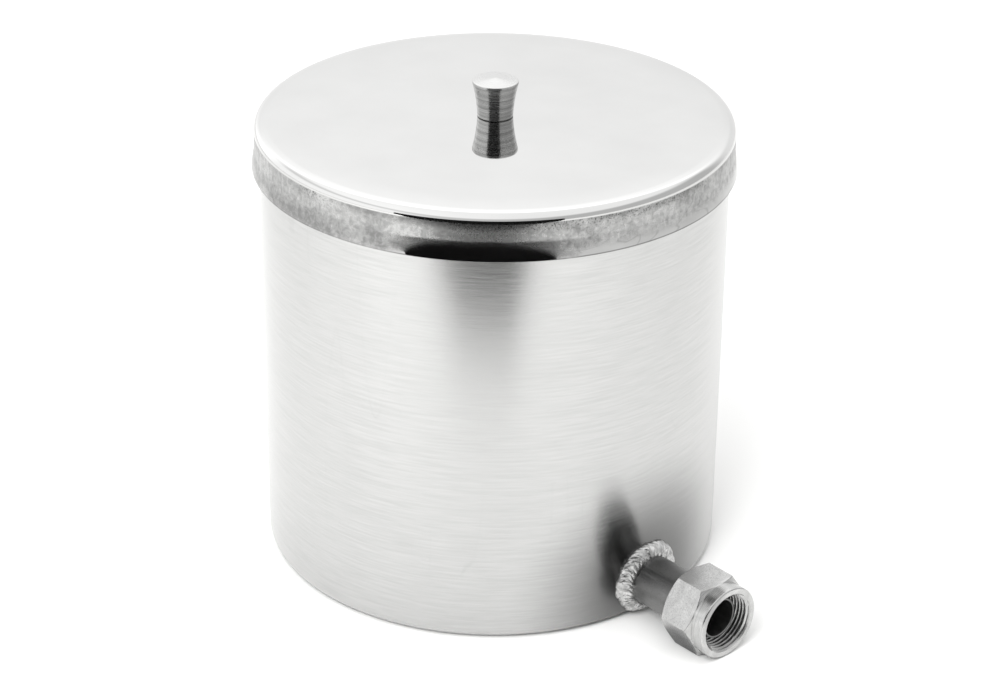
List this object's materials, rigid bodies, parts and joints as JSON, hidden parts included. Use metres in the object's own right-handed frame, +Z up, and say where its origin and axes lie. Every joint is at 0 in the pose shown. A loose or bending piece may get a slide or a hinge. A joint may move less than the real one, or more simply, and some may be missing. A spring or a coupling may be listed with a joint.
{
  "type": "lidded pot with bottom outlet",
  "caption": "Straight-sided stainless steel pot with a loose slip-on lid, a turned lid knob and a welded bottom outlet tube that ends in a captive hexagonal union nut.",
  "frame": {"origin": "centre of the flat base, on the surface the pot stands on", "axes": "+Z up along the pot's axis, +X along the outlet, out of the nut's mouth"},
  "size_m": [0.2519, 0.2064, 0.2147],
  "materials": {
    "drawn_steel": "fine horizontal brushing",
    "polished_steel": "polished top, cloudy draw marks on the skirt",
    "turned_steel": "fine turning marks",
    "tube_steel": "dull drawn tube",
    "nut_steel": "satin, blasted flats and turned collar",
    "weld_steel": "rippled weld metal",
    "fastener_steel": "plain",
    "black_rubber": "matte"
  },
  "bodies": {
    "pot": {"pot_shell": "drawn_steel", "outlet_tube": "tube_steel", "outlet_weld": "weld_steel", "flat_gasket": "black_rubber"},
    "swivel_nut": {"union_nut": "nut_steel"},
    "lid": {"lid_shell": "polished_steel", "lid_knob": "turned_steel", "knob_screw": "fastener_steel", "knob_washer": "fastener_steel", "spring_washer": "fastener_steel"}
  },
  "joints": [
    {"name": "lid_lift", "type": "slide", "parent": "pot", "child": "lid", "axis": [0, 0, 1], "range_m": [0, 0.12]},
    {"name": "nut_spin", "type": "hinge", "parent": "pot", "child": "swivel_nut", "pos_m": [0.1374, 0, 0.0162], "axis": [1, 0, 0], "continuous": true}
  ]
}
